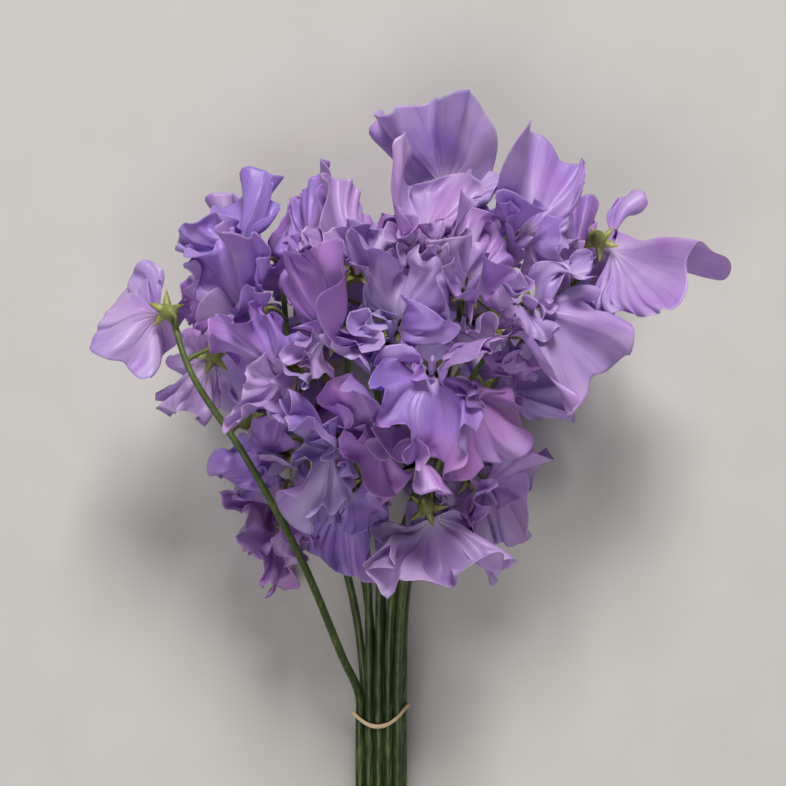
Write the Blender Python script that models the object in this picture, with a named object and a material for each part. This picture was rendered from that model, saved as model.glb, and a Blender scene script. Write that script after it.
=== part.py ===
"""A cut bunch of sweet pea stems held by a rubber band, lying on its back.

Ten flower stems fan out from the band. Each carries three to five blooms on short stalks. A bloom
is a banner, two wings and a keel joined at the claw, and it sits in a green calyx with five sepals.
A stem with its flower stalks and calyces is one object, each bloom is one object, and the band is
one object. Run with: blender --background --python part.py

X runs across the bunch, +Y along the stems towards the flowers, +Z up from the surface it lies on.
The design below is written in millimetres from the middle of the band; MM turns it into metres.
"""

import math

import bmesh
import bpy
import numpy as np

MM = 0.001

# ---- driving dimensions, in millimetres ----
BUNCH_CENTRE = (12.6, 69.5)     # middle of the bunch's box, which becomes the origin

TIE_HEIGHT = 23.0               # middle of the bundle above the surface, at the band
TAIL_HEIGHT = 4.5               # the same at the cut ends
TAIL_LENGTH = 116.0             # from the band to the cut ends
STEM_R_TAIL = 1.95
STEM_R_TIE = 1.85
STEM_R_TIP = 1.15
STEM_SIDES = 5
STEM_STEPS = 16
ROW_PITCH = 4.15                # between neighbouring stems in a row of the bundle
ROW_RISE = 1.85                 # each row's height from the middle of the bundle

BAND_GAP = 0.35
BAND_THICK = 1.1
BAND_WIDTH = 2.0
BAND_SECTIONS = 32
BAND_SAG = 4.9                  # how much nearer the cut ends its front lies than its back
BAND_BOW = 0.05                 # the front's sides rise this much for each square millimetre across
BAND_TILT = 0.16                # its rise towards the flowers, for each millimetre to the right
BAND_RUN = 7.0                  # the stems run straight this far on each side of the band's middle

CALYX_LENGTH = 8.0              # from its root on the flower stalk to its mouth
CALYX_R = 2.9
CALYX_SIDES = 5
SEPAL_REACH = 8.3
STALK_R = 0.95
STALK_DROP = 4.0                # a flower stalk leaves its stem this much below the bloom
STALK_ROOM = 1.3                # radius round a stalk that no petal enters

PETAL_THICK = 0.7
PETAL_GAP = 0.15                # from a petal's face to the edge of its own room
FLOOR_PRESS = 12.0              # petals are eased to this far below the surface, then stopped on it
SEAT_REACH = 0.5                # points this near the surface are set on it
CLAW_LENGTH = 5.0               # the narrow root of a petal
CLAW_SHARE = 0.15               # the claw's share of a petal's (u, v) square
CLAW_FADE = 4.0                 # how fast the claw's width gives way to the fan of the blade
BANNER_HEIGHT = 39.0
BANNER_SPREAD = math.radians(97)
BANNER_CLAW = 1.5               # half widths of the claws
BANNER_RISE = math.radians(42)  # how steeply the banner leaves the calyx
BANNER_TURN = 15.0              # it has bent all the way up after this length
BANNER_FOLD = 16.0              # a half is fully folded this far from the midline
WING_LENGTH = 33.0
WING_SPREAD = math.radians(78)
WING_CLAW = 1.1
WING_RISE = math.radians(24)
WING_TURN = 22.0
WING_CLEAR = 2.6                # the wings stay this far from the middle, outside the keel
KEEL_LENGTH = 17.0
KEEL_LIFT = 2.8                 # its pointed tip turns up this much
CORE_R = 1.5
FULL_TURN = 6.28

BANNER_GRID = (8, 3)            # panels across and along
WING_GRID = (4, 2)

# ---- the bunch, stem by stem ----
# slot: place in the bundle, as (column, row), row 0 in front and 1 behind.
# route: points that the stem passes above the band. The last is its tip.
# blooms: (mouth of the calyx, way it faces, way its banner rises, size), tip first.
STEMS = [
    dict(slot=(0, 0), route=[(-16, 25, 35), (-33, 71, 58), (-54, 114, 79), (-76, 150, 84),
                             (-83, 170, 78)], blooms=[
        ((-85, 171, 77), (-6, 3, -10), (-20, -24, 2), 0.73),
        ((-68, 153, 64), (-3, -4, -9), (-4, -10, 1), 0.66),
        ((-54, 128, 54), (6, 4, -8), (1, 10, 0), 0.95),
        ((-34, 92, 46), (4, -9, 1), (6, 3, -8), 0.95)]),
    dict(slot=(0, 1), route=[(-15, 62, 28), (-26, 95, 38), (-37, 150, 58), (-41, 194, 58)], blooms=[
        ((-53, 195, 60), (-9, 1, 5), (-1, 10, 4), 0.92),
        ((-50, 170, 78), (-6, -3, 8), (-3, 10, 0), 0.95),
        ((-34, 146, 90), (-4, -4, 10), (-6, 8, 0), 1.00),
        ((-40, 113, 60), (-3, -7, 7), (-5, 8, 0), 0.85)]),
    dict(slot=(1, 0), route=[(-6, 70, 36), (-10, 115, 58), (-14, 160, 72), (-17, 194, 62)], blooms=[
        ((-24, 193, 68), (-6, 0, 8), (-8, 10, 4), 0.90),
        ((-9, 186, 92), (3, 4, 9), (2, 10, 0), 0.95),
        ((-17, 160, 97), (-3, -2, 10), (-3, 10, 0), 1.00),
        ((-16, 120, 84), (-3, -6, 8), (-5, 5, 0), 1.00),
        ((-14, 100, 56), (-1, -6, 9), (-3, -10, 3), 0.95)]),
    dict(slot=(2, 0), route=[(0, 70, 36), (4, 120, 60), (10, 165, 68), (19, 205, 58)], blooms=[
        ((26, 219, 58), (1, 3, -10), (-2, 10, 3), 1.03),
        ((18, 194, 86), (-2, 3, 10), (0, 10, 0), 1.00),
        ((6, 164, 97), (-2, -1, 10), (3, 10, 0), 1.00),
        ((4, 124, 90), (-1, -7, 8), (-3, 7, 0), 1.00)]),
    dict(slot=(3, 0), route=[(7, 70, 38), (20, 115, 64), (30, 160, 76), (37, 200, 70)], blooms=[
        ((54, 199, 80), (2, -2, 10), (7, 10, 2), 1.07),
        ((34, 178, 96), (2, 2, 10), (3, 10, 0), 1.00),
        ((20, 146, 100), (0, 5, 10), (-1, -10, 7), 1.00),
        ((49, 160, 86), (2, -9, 4), (-8, 0, 6), 0.90)]),
    dict(slot=(4, 1), route=[(14, 70, 34), (38, 125, 52), (68, 172, 60), (86, 190, 60)], blooms=[
        ((88, 199, 74), (4, -3, -9), (18, -8, 2), 1.12),
        ((74, 186, 66), (4, 2, 9), (3, 10, 0), 0.95),
        ((58, 172, 90), (0, 2, 10), (7, -8, 1), 1.05)]),
    dict(slot=(4, 0), route=[(11, 65, 44), (18, 92, 58), (28, 122, 70)], blooms=[
        ((29, 141, 90), (5, 2, 10), (4, -10, 0), 0.90),
        ((38, 103, 56), (6, -5, 5), (4, -9, -2), 0.95),
        ((19, 92, 70), (2, -4, -10), (4, -10, -2), 0.95)]),
    dict(slot=(1, 1), route=[(-9, 65, 20), (-18, 95, 24), (-36, 140, 36), (-48, 172, 42)], blooms=[
        ((-60, 180, 38), (-10, 3, -3), (0, 10, 3), 0.95),
        ((-26, 149, 21), (-3, 0, -10), (-10, 4, 0), 1.15),
        ((-40, 109, 30), (-10, -4, 0), (-3, 10, 3), 0.95),
        ((-42, 77, 24), (-8, -7, 2), (-8, 6, 0), 0.85)]),
    dict(slot=(2, 1), route=[(0, 65, 19), (-2, 110, 30), (0, 155, 38), (4, 188, 42)], blooms=[
        ((7, 196, 37), (-2, 10, -2), (-8, 3, 4), 1.06),
        ((-20, 182, 32), (-5, 4, -10), (-6, 8, 0), 1.05),
        ((4, 148, 20), (2, -3, -10), (10, 2, 0), 1.15),
        ((-3, 112, 21), (-2, -6, -8), (-10, 2, 0), 1.15)]),
    dict(slot=(3, 1), route=[(8, 65, 19), (20, 110, 28), (42, 150, 38), (58, 172, 40)], blooms=[
        ((72, 178, 36), (10, 2, -4), (0, 10, 4), 0.95),
        ((38, 190, 32), (2, 6, -10), (-4, 8, 0), 1.10),
        ((45, 142, 22), (5, -3, -8), (-4, 10, 0), 1.00),
        ((28, 106, 22), (5, -6, -7), (6, -5, 0), 1.00)]),
]

# Blooms whose shape is set by hand: how far the banner's left and right half is folded forward (+) or
# back (-), in degrees, and the wings' share of their usual length.
SHAPES = {
    "bloom_01_1": dict(folds=(70, -10), wings=0.75),
    "bloom_01_2": dict(folds=(70, 60)),
    "bloom_01_4": dict(folds=(30, 10)),
    "bloom_02_4": dict(folds=(60, -10)),
    "bloom_03_3": dict(folds=(-60, 65)),
    "bloom_03_4": dict(folds=(-65, 60)),
    "bloom_04_1": dict(folds=(60, 50)),
    "bloom_04_2": dict(folds=(95, 20)),
    "bloom_05_1": dict(folds=(45, 0)),
    "bloom_06_1": dict(folds=(-15, 95), wings=0.8),
    "bloom_06_2": dict(folds=(20, 10), wings=0.85),
    "bloom_06_3": dict(folds=(-30, 20)),
    "bloom_07_1": dict(folds=(0, 30)),
    "bloom_07_2": dict(folds=(85, 30), wings=0.85),
    "bloom_07_3": dict(folds=(-35, 30)),
    "bloom_10_3": dict(folds=(10, 30)),
}


# ---- small geometry helpers ----
def unit(vector):
    vector = np.asarray(vector, float)
    return vector / np.linalg.norm(vector)


def smoothstep(x):
    x = np.clip(x, 0.0, 1.0)
    return x * x * (3.0 - 2.0 * x)


def smooth_route(knots, steps):
    """Even points on a smooth curve through the knots, and how far along it each one lies."""
    knots = np.array(knots, float)
    spans = np.linalg.norm(np.diff(knots, axis=0), axis=1)[:, None]
    slopes = np.diff(knots, axis=0) / spans
    inner = (spans[:-1] * slopes[1:] + spans[1:] * slopes[:-1]) / (spans[:-1] + spans[1:])
    tangents = np.vstack([slopes[:1], inner, slopes[-1:]])
    t = np.linspace(0.0, 1.0, 24, endpoint=False)[:, None]
    dense = [(2 * t ** 3 - 3 * t ** 2 + 1) * knots[i] + (t ** 3 - 2 * t ** 2 + t) * spans[i] * tangents[i]
             + (3 * t ** 2 - 2 * t ** 3) * knots[i + 1] + (t ** 3 - t ** 2) * spans[i] * tangents[i + 1]
             for i in range(len(knots) - 1)]
    dense = np.vstack([*dense, knots[-1:]])
    along = np.concatenate([[0.0], np.cumsum(np.linalg.norm(np.diff(dense, axis=0), axis=1))])
    wanted = np.linspace(0.0, along[-1], steps)
    points = np.stack([np.interp(wanted, along, dense[:, i]) for i in range(3)], axis=1)
    return points, wanted


def bloom_axes(face, banner):
    """Rows: right, up (the way the banner rises) and forward (the way the bloom faces)."""
    forward = unit(face)
    up = unit(np.asarray(banner, float) - np.dot(banner, forward) * forward)
    return np.array([np.cross(up, forward), up, forward])


# ---- the layout worked out from the table ----
class Bloom:
    """Where one bloom sits and what shapes it. Everything is in millimetres."""

    def __init__(self, stem, number, spec):
        mouth, face, banner, size = spec
        self.size = size
        self.name = f"bloom_{stem + 1:02d}_{number + 1}"
        self.shape = SHAPES.get(self.name, {})
        self.mouth = np.array(mouth, float)
        self.axes = bloom_axes(face, banner)
        self.base = self.mouth - self.axes[2] * CALYX_LENGTH
        self.centre = self.mouth + (10.0 * self.axes[2] + 12.0 * self.axes[1]) * size
        self.room = 22.0 * size
        self.seed = 17 * stem + 5 * number

    def draw(self, low, high, which):
        """A fixed random value for this bloom."""
        return np.random.default_rng(1000 * which + self.seed).uniform(low, high)

    def place(self, local):
        return self.mouth + local @ self.axes


def slot_place(column, row):
    """Where a stem lies in the bundle's cross-section: across, and above its middle."""
    return (column - 2 + (row - 0.5) / 2) * ROW_PITCH, ROW_RISE * (1 - 2 * row)


def stem_path(stem):
    across, rise = slot_place(*stem["slot"])
    uneven = 5.0 * math.sin(2.1 * stem["slot"][0] + 1.7 * stem["slot"][1])
    slope = (TIE_HEIGHT - TAIL_HEIGHT) / TAIL_LENGTH
    straight = [(across, y, TIE_HEIGHT + slope * y + rise)
                for y in (-TAIL_LENGTH - uneven, -TAIL_LENGTH / 2, -BAND_RUN, BAND_RUN)]
    return smooth_route([*straight, *stem["route"]], STEM_STEPS)


def stalk_path(bloom, path):
    """The flower stalk, from inside the stem to the calyx, leaving a little below the bloom."""
    centres, along = path
    fine = np.linspace(0.0, along[-1], 400)
    points = np.stack([np.interp(fine, along, centres[:, i]) for i in range(3)], axis=1)
    nearest = fine[np.argmin(np.linalg.norm(points - bloom.base, axis=1))]
    root_at = np.clip(nearest - STALK_DROP, 0.0, along[-1] - 1.5)
    root = np.array([np.interp(root_at, along, centres[:, i]) for i in range(3)])
    reach = np.linalg.norm(bloom.base - root)
    bend = bloom.base - bloom.axes[2] * 0.4 * reach
    return np.array([(1 - t) ** 2 * root + 2 * t * (1 - t) * bend + t * t * bloom.base
                     for t in (0.0, 0.5, 1.0)])


# ---- each bloom's own room, so that petals press against their neighbours and never cross ----
def room_planes(bloom, blooms, capsules):
    """Half-spaces (normal, distance) that hold this bloom: dot(normal, point) stays under distance."""
    planes = [(np.array([0.0, 0.0, -1.0]), FLOOR_PRESS)]
    for other in blooms:
        apart = other.centre - bloom.centre
        gap = np.linalg.norm(apart)
        if other is bloom or gap > 75.0:
            continue
        share = 0.5 + (bloom.room ** 2 - other.room ** 2) / (2 * gap * gap)
        share = min(max(share, 0.25), 0.75)
        normal = apart / gap
        planes.append((normal, np.dot(normal, bloom.centre + share * apart)))
    for start, end, radius, owner in capsules:
        if owner is bloom:
            continue
        run = end - start
        t = np.clip(np.dot(bloom.centre - start, run) / np.dot(run, run), 0.0, 1.0)
        closest = start + t * run
        apart = closest - bloom.centre
        gap = np.linalg.norm(apart)
        if gap > 45.0 or gap < radius + 1.0:
            continue
        normal = apart / gap
        planes.append((normal, np.dot(normal, closest) - radius))
    return planes


def press(points, bloom, planes, margin):
    """Bends points back where they reach past the planes, softly first and then exactly."""
    free = smoothstep((np.linalg.norm(points - bloom.mouth, axis=1) - 3.0) / 7.0)[:, None]
    for reach in (8.0, 3.0, 1.0):
        moved = points.copy()
        for normal, limit in planes:
            past = moved @ normal - (limit - margin)
            near = np.maximum(past, -reach)
            eased = np.where(past < -reach, past, -reach * np.exp(-(near + reach) / reach))
            moved += (eased - past)[:, None] * normal
        points = points + free * (moved - points)
    for _ in range(30):
        for normal, limit in planes:
            past = np.maximum(points @ normal - (limit - margin), 0.0)
            points = points - free * past[:, None] * normal
    return points


# ---- petals, as points in the bloom's own right, up, forward axes ----
def midline(lengths, start_angle, end_angle, turn_over):
    """Up and forward places along a curve that starts forward and bends up."""
    fine = np.linspace(-8.0, 60.0, 341)
    angle = start_angle + (end_angle - start_angle) * smoothstep(fine / turn_over)
    step = fine[1] - fine[0]
    up = np.cumsum(np.sin(angle)) * step
    forward = np.cumsum(np.cos(angle)) * step
    zero = np.searchsorted(fine, 0.0)
    up -= up[zero]
    forward -= forward[zero]
    tilt = np.interp(lengths, fine, angle)
    return np.interp(lengths, fine, up), np.interp(lengths, fine, forward), tilt


def claw_and_blade(u, v, claw_half, outline, spread):
    """Flat places on a petal. u runs from edge to edge, v from the claw's root (0) to the rim (1)."""
    strip = np.clip(v / CLAW_SHARE, 0.0, 1.0)
    out = np.clip((v - CLAW_SHARE) / (1.0 - CLAW_SHARE), 0.0, 1.0) * outline
    angle = u * spread
    across = claw_half * u * (0.6 + 0.4 * strip) * np.exp(-out / CLAW_FADE) + out * np.sin(angle)
    return across, CLAW_LENGTH * strip + out * np.cos(angle), out, angle


def fold_about(distance, angle, reach):
    """Bends what lies this far from a crease: how far sideways it then lies, and how far up."""
    fine = np.linspace(0.0, 60.0, 121)
    bent = angle * smoothstep(fine / reach)
    sideways = np.concatenate([[0.0], np.cumsum(np.cos(bent[1:]))]) * fine[1]
    up = np.concatenate([[0.0], np.cumsum(np.sin(bent[1:]))]) * fine[1]
    return np.interp(distance, fine, sideways), np.interp(distance, fine, up)


def banner_folds(bloom):
    """How far the banner's left and right halves are folded forward (+) or back (-)."""
    drawn = (bloom.draw(-55, 75, 30), bloom.draw(-55, 75, 31))
    return np.radians(bloom.shape.get("folds", drawn))


def banner_points(bloom, u, v):
    """The large upright petal: notched at the top, folded along its middle and waved like a fan."""
    shoulders = 1.0 - 0.50 * np.abs(u) ** 3 + 0.09 * np.sin(math.pi * u) ** 2
    notch = 1.0 - 0.16 * np.exp(-(u / 0.12) ** 2)
    outline = BANNER_HEIGHT * shoulders * notch
    across, along, out, angle = claw_and_blade(u, v, BANNER_CLAW, outline, BANNER_SPREAD)
    left, right = banner_folds(bloom)
    left_x, left_up = fold_about(np.abs(across), left, BANNER_FOLD)
    right_x, right_up = fold_about(np.abs(across), right, BANNER_FOLD)
    x = np.where(across < 0, -left_x, right_x)
    lift = np.where(across < 0, left_up, right_up) * smoothstep(out / 8.0)
    wave = 0.13 * np.sin(4.4 * angle + bloom.draw(0, FULL_TURN, 4))
    wave += 0.07 * np.sin(7.4 * angle + bloom.draw(0, FULL_TURN, 5))
    lift += out * wave * smoothstep(out / 20.0) - 1.3 * np.exp(-(across / 3.0) ** 2) * out / BANNER_HEIGHT
    end_angle = math.radians(bloom.draw(88, 122, 1))
    up, forward, tilt = midline(along, BANNER_RISE, end_angle, BANNER_TURN)
    forward = forward + 1.6 * np.minimum(out / 9.0, 1.0)
    places = [x, up - lift * np.cos(tilt), forward + lift * np.sin(tilt)]
    return np.stack(places, axis=-1) * bloom.size


def left_wing(bloom, u, v):
    return wing_points(bloom, -1, u, v)


def right_wing(bloom, u, v):
    return wing_points(bloom, 1, u, v)


def wing_points(bloom, side, u, v):
    """A wing, left (-1) or right (1), which flares outwards beside the keel."""
    outline = WING_LENGTH * bloom.shape.get("wings", 1.0) * (1.0 - 0.40 * np.abs(u) ** 2.4)
    across, along, out, angle = claw_and_blade(u, v, WING_CLAW, outline, WING_SPREAD)
    flare = math.radians(bloom.draw(48, 96, 6 + side))
    lean = math.radians(bloom.draw(12, 46, 8 + side))
    sideways, forward, _ = midline(along, WING_RISE, flare, WING_TURN)
    wave = 0.10 * np.sin(3.6 * angle + bloom.draw(0, FULL_TURN, 12 + side))
    wave += 0.06 * np.sin(6.5 * angle + bloom.draw(0, FULL_TURN, 14 + side))
    dome = bloom.draw(0.008, 0.022, 16 + side) * across ** 2 + out * wave * smoothstep(out / 16.0)
    x = 0.6 + sideways - across * math.sin(lean) - dome * math.cos(lean)
    clear = WING_CLEAR * np.minimum(out / 5.0, 1.0)
    x = np.where(out > 0, clear + 1.5 * np.logaddexp(0.0, (x - clear) / 1.5), x)
    droop = bloom.draw(0.08, 0.30, 18 + side) * along * smoothstep(out / 14.0)
    y = across * math.cos(lean) - dome * math.sin(lean) - droop - 0.3
    return np.stack([side * x, y, forward + 0.3], axis=-1) * bloom.size


def keel_rings(bloom):
    """Rings of the keel, which runs from the round core that the claws sink into to a pointed tip."""
    turns = np.arange(5) * math.tau / 5 - math.pi / 2
    rings = []
    for along, height, width, rise, scale in ((-0.9, CORE_R, CORE_R, 0.0, 1.0),
                                              (0.55 * KEEL_LENGTH, 2.8, 1.6, -0.6, bloom.size)):
        places = [width * np.cos(turns), rise + height * np.sin(turns), np.full(5, along)]
        rings.append(np.stack(places, axis=1) * scale)
    rings.append(np.array([[0.0, KEEL_LIFT, KEEL_LENGTH]]) * bloom.size)
    return rings


# ---- meshes and objects ----
def to_metres(points):
    return (np.asarray(points) - np.array([*BUNCH_CENTRE, 0.0])) * MM


def new_object(name, points, faces, collection=None):
    mesh = bpy.data.meshes.new(name)
    mesh.from_pydata([tuple(p) for p in to_metres(points)], [], faces)
    bm = bmesh.new()
    bm.from_mesh(mesh)
    bmesh.ops.recalc_face_normals(bm, faces=bm.faces)
    if bm.calc_volume(signed=True) < 0.0:
        bmesh.ops.reverse_faces(bm, faces=bm.faces)
    bm.to_mesh(mesh)
    bm.free()
    made = bpy.data.objects.new(name, mesh)
    (collection or bpy.context.scene.collection).objects.link(made)
    return made


def petal_rows(panels, rings):
    """(u, v) places of a petal, row by row: two rows of two points along the claw, then full rows."""
    ends = np.array([-1.0, 1.0])
    rows = [(ends, 0.0), (ends, CLAW_SHARE)]
    for ring in range(1, rings + 1):
        reach = (ring / rings) ** 0.85
        rows.append((np.linspace(-1.0, 1.0, panels + 1), CLAW_SHARE + (1 - CLAW_SHARE) * reach))
    return rows


def row_faces(rows):
    """Triangles between neighbouring rows, which have as many points as each other or two and many."""
    faces, start = [], 0
    for (low, _), (high, _) in zip(rows, rows[1:]):
        n, m = len(low), len(high)
        a, b = start, start + n
        if n == m:
            for i in range(n - 1):
                if (i < (n - 1) / 2) == (len(faces) % 4 == 0):
                    faces += [(a + i, a + i + 1, b + i), (a + i + 1, b + i + 1, b + i)]
                else:
                    faces += [(a + i, a + i + 1, b + i + 1), (a + i, b + i + 1, b + i)]
        else:
            middle = (m - 1) // 2
            faces += [(a, b + i + 1, b + i) for i in range(middle)]
            faces.append((a, a + 1, b + middle))
            faces += [(a + 1, b + i + 1, b + i) for i in range(middle, m - 1)]
        start += n
    return faces


def sheet_object(name, points, faces, collection):
    """A petal's middle surface, given its thickness by Solidify."""
    mesh = bpy.data.meshes.new(name)
    mesh.from_pydata([tuple(p) for p in to_metres(points)], [], faces)
    made = bpy.data.objects.new(name, mesh)
    collection.objects.link(made)
    solidify = made.modifiers.new("thickness", "SOLIDIFY")
    solidify.thickness = PETAL_THICK * MM
    solidify.offset = 0.0


def ringed_object(name, rings, collection=None):
    """A closed body through rings of points. A ring may have twice the points of the one before it."""
    points, faces, starts = [], [], []
    for ring in rings:
        starts.append(len(points))
        points += list(ring)
    for index, (low, high) in enumerate(zip(rings, rings[1:])):
        a0, b0, n, m = starts[index], starts[index + 1], len(low), len(high)
        for i in range(n):
            a, a_next = a0 + i, a0 + (i + 1) % n
            if m == n:
                faces.append((a, a_next, b0 + (i + 1) % m, b0 + i))
            elif m == 1:
                faces.append((a, a_next, b0))
            else:
                b, b_mid, b_next = b0 + 2 * i, b0 + 2 * i + 1, b0 + (2 * i + 2) % m
                faces += [(a, b_mid, b), (a, a_next, b_mid), (a_next, b_next, b_mid)]
    faces.append(tuple(range(len(rings[0]))))
    if len(rings[-1]) > 1:
        faces.append(tuple(range(starts[-1], starts[-1] + len(rings[-1]))))
    return new_object(name, points, faces, collection)


def join_by_union(target, pieces):
    """Joins the collection's objects to the target with one Boolean union, and removes them."""
    union = target.modifiers.new("join", "BOOLEAN")
    union.operation = "UNION"
    union.operand_type = "COLLECTION"
    union.collection = pieces
    union.solver = "MANIFOLD"
    apply_modifiers(target)
    for piece in list(pieces.objects):
        bpy.data.objects.remove(piece)
    bpy.data.collections.remove(pieces)


def apply_modifiers(target):
    graph = bpy.context.evaluated_depsgraph_get()
    mesh = bpy.data.meshes.new_from_object(target.evaluated_get(graph))
    target.modifiers.clear()
    target.data = mesh


def helper_collection(name):
    made = bpy.data.collections.new(name)
    bpy.context.scene.collection.children.link(made)
    return made


def tube_rings(points, tangents, radii, sides, side):
    """Rings square to a path, turned as little as they can be, with a corner towards the given side."""
    rings = []
    turns = np.arange(sides)[:, None] * math.tau / sides
    for point, tangent, radius in zip(points, tangents, radii):
        tangent = unit(tangent)
        side = unit(side - np.dot(side, tangent) * tangent)
        rings.append(point + radius * (np.cos(turns) * side + np.sin(turns) * np.cross(tangent, side)))
    return rings


# ---- materials ----
def material(name, colour, roughness):
    made = bpy.data.materials.new(name)
    made.use_nodes = True
    shader = made.node_tree.nodes["Principled BSDF"]
    shader.inputs["Base Color"].default_value = (*colour, 1.0)
    shader.inputs["Roughness"].default_value = roughness
    made.diffuse_color = (*colour, 1.0)
    return made


# ---- the pieces ----
def calyx_rings(bloom):
    """The calyx from the end of its stalk: a cup whose rim runs out into five spread sepals."""
    five = np.arange(CALYX_SIDES) * math.tau / CALYX_SIDES
    ten = np.arange(2 * CALYX_SIDES) * math.tau / (2 * CALYX_SIDES)
    tips = np.arange(2 * CALYX_SIDES) % 2 == 0
    cup = np.stack([CALYX_R * np.sin(five), CALYX_R * np.cos(five), np.full(CALYX_SIDES, -4.6)], axis=1)
    rings = [cup]
    for rim, rim_height, tip_height in ((3.5, -1.5, 1.1), (2.7, -0.7, 1.8)):
        reach = np.where(tips, SEPAL_REACH, rim)
        height = np.where(tips, tip_height, rim_height)
        rings.append(np.stack([reach * np.sin(ten), reach * np.cos(ten), height], axis=1))
    rings.append(np.array([[0.0, 0.0, -2.1]]))
    return [bloom.place(ring) for ring in rings]


def make_stalk(bloom, path, collection):
    """A flower stalk and its calyx. Its rings run back from the calyx, so that they meet its corners."""
    root, middle, base = stalk_path(bloom, path)
    backwards = (-bloom.axes[2], root - base, root - middle)
    radii = STALK_R * np.array([1.2, 0.95, 1.0])
    rings = tube_rings((base, middle, root), backwards, radii, CALYX_SIDES, bloom.axes[1])
    return ringed_object("stalk", rings[::-1] + calyx_rings(bloom), collection)


def make_stem(number, blooms, path, look):
    centres, along = path
    radii = np.interp(along, [0.0, TAIL_LENGTH, along[-1]], [STEM_R_TAIL, STEM_R_TIE, STEM_R_TIP])
    rings = tube_rings(centres, np.gradient(centres, axis=0), radii, STEM_SIDES, np.array([1.0, 0.0, 0.0]))
    made = ringed_object(f"stem_{number:02d}", rings)
    pieces = helper_collection("stalks")
    for bloom in blooms:
        make_stalk(bloom, path, pieces)
    join_by_union(made, pieces)
    seat_on_surface(made)
    made.data.materials.clear()
    made.data.materials.append(look)


def make_bloom(bloom, planes, look):
    margin = PETAL_THICK / 2 + PETAL_GAP
    made = ringed_object(bloom.name, [bloom.place(ring) for ring in keel_rings(bloom)])
    petals = helper_collection("petals")
    for grid, shape in ((BANNER_GRID, banner_points), (WING_GRID, left_wing), (WING_GRID, right_wing)):
        rows = petal_rows(*grid)
        points = np.vstack([shape(bloom, u, np.full(len(u), v)) for u, v in rows])
        points = press(bloom.place(points), bloom, planes, margin)
        points[:, 2] = np.maximum(points[:, 2], PETAL_THICK / 2)
        sheet_object("petal", points, row_faces(rows), petals)
    join_by_union(made, petals)
    seat_on_surface(made)
    made.data.materials.clear()
    made.data.materials.append(look)


def band_outline(reach, steps):
    """Points round the bundle at this distance from the outer stems' middles, as (across, rise)."""
    corners = np.array([slot_place(0, 1), slot_place(4, 1), slot_place(4, 0), slot_place(0, 0)])
    outline = []
    for before, corner, after in zip(np.roll(corners, 1, axis=0), corners, np.roll(corners, -1, axis=0)):
        into, out = corner - before, after - corner
        start = math.atan2(-into[0], into[1])
        turn = (math.atan2(-out[0], out[1]) - start) % math.tau
        for t in np.linspace(0.0, 1.0, steps):
            angle = start + turn * t
            outline.append(corner + reach * np.array([math.cos(angle), math.sin(angle)]))
    return np.array(outline)


def band_middle(sections):
    """Even points on the band's middle line, as (across, rise), and the way out of the bundle at each."""
    corners = band_outline(STEM_R_TIE + BAND_GAP + BAND_THICK / 2, 12)
    loop = np.vstack([corners, corners[:1]])
    along = np.concatenate([[0.0], np.cumsum(np.linalg.norm(np.diff(loop, axis=0), axis=1))])
    at = np.linspace(0.0, along[-1], sections, endpoint=False)
    centres = np.stack([np.interp(at, along, loop[:, i]) for i in range(2)], axis=1)
    ahead = np.roll(centres, -1, axis=0) - np.roll(centres, 1, axis=0)
    ahead /= np.linalg.norm(ahead, axis=1, keepdims=True)
    return centres, np.stack([ahead[:, 1], -ahead[:, 0]], axis=1)


def band_shift(x, z):
    """How far along the stems this part of the band lies: the front bows towards the cut ends."""
    front = 0.5 + 0.5 * z / (ROW_RISE + STEM_R_TIE)
    return BAND_TILT * x + (BAND_BOW * x * x - BAND_SAG) * front


def make_band(look):
    """A closed elastic loop round the bundle."""
    half, slope = BAND_WIDTH / 2, (TIE_HEIGHT - TAIL_HEIGHT) / TAIL_LENGTH
    points, faces = [], []
    for (x, z), (out_x, out_z) in zip(*band_middle(BAND_SECTIONS)):
        for thick, wide in ((-0.5, -half), (0.5, -half), (0.5, half), (-0.5, half)):
            y = wide + band_shift(x, z)
            reach = thick * BAND_THICK
            points.append((x + out_x * reach, y, TIE_HEIGHT + z + out_z * reach + slope * y))
    for i in range(BAND_SECTIONS):
        a, b = 4 * i, 4 * ((i + 1) % BAND_SECTIONS)
        for k in range(4):
            following = (k + 1) % 4
            faces.append((a + k, a + following, b + following, b + k))
    made = new_object("rubber_band", points, faces)
    made.data.materials.append(look)


def seat_on_surface(made):
    """Points that all but touch the surface are set on it, which leaves small flat spots to rest on."""
    for vertex in made.data.vertices:
        if vertex.co.z < SEAT_REACH * MM:
            vertex.co.z = 0.0


def keep_outs(stems, paths):
    """Round bars that no petal may enter: (start, end, radius, the bloom they belong to or None)."""
    bars = []
    for blooms, path in zip(stems, paths):
        for start, end in zip(path[0], path[0][1:]):
            bars.append((start, end, STEM_R_TIE, None))
        for bloom in blooms:
            root, middle, base = stalk_path(bloom, path)
            forward = bloom.axes[2]
            bars.append((root, middle, STALK_ROOM, bloom))
            bars.append((middle, base, STALK_ROOM, bloom))
            bars.append((base, bloom.mouth, CALYX_R + 0.6, bloom))
            bars.append((bloom.mouth, bloom.mouth + 1.5 * forward, SEPAL_REACH, bloom))
    return bars


def clear_scene():
    for old in list(bpy.data.objects):
        bpy.data.objects.remove(old)


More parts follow.
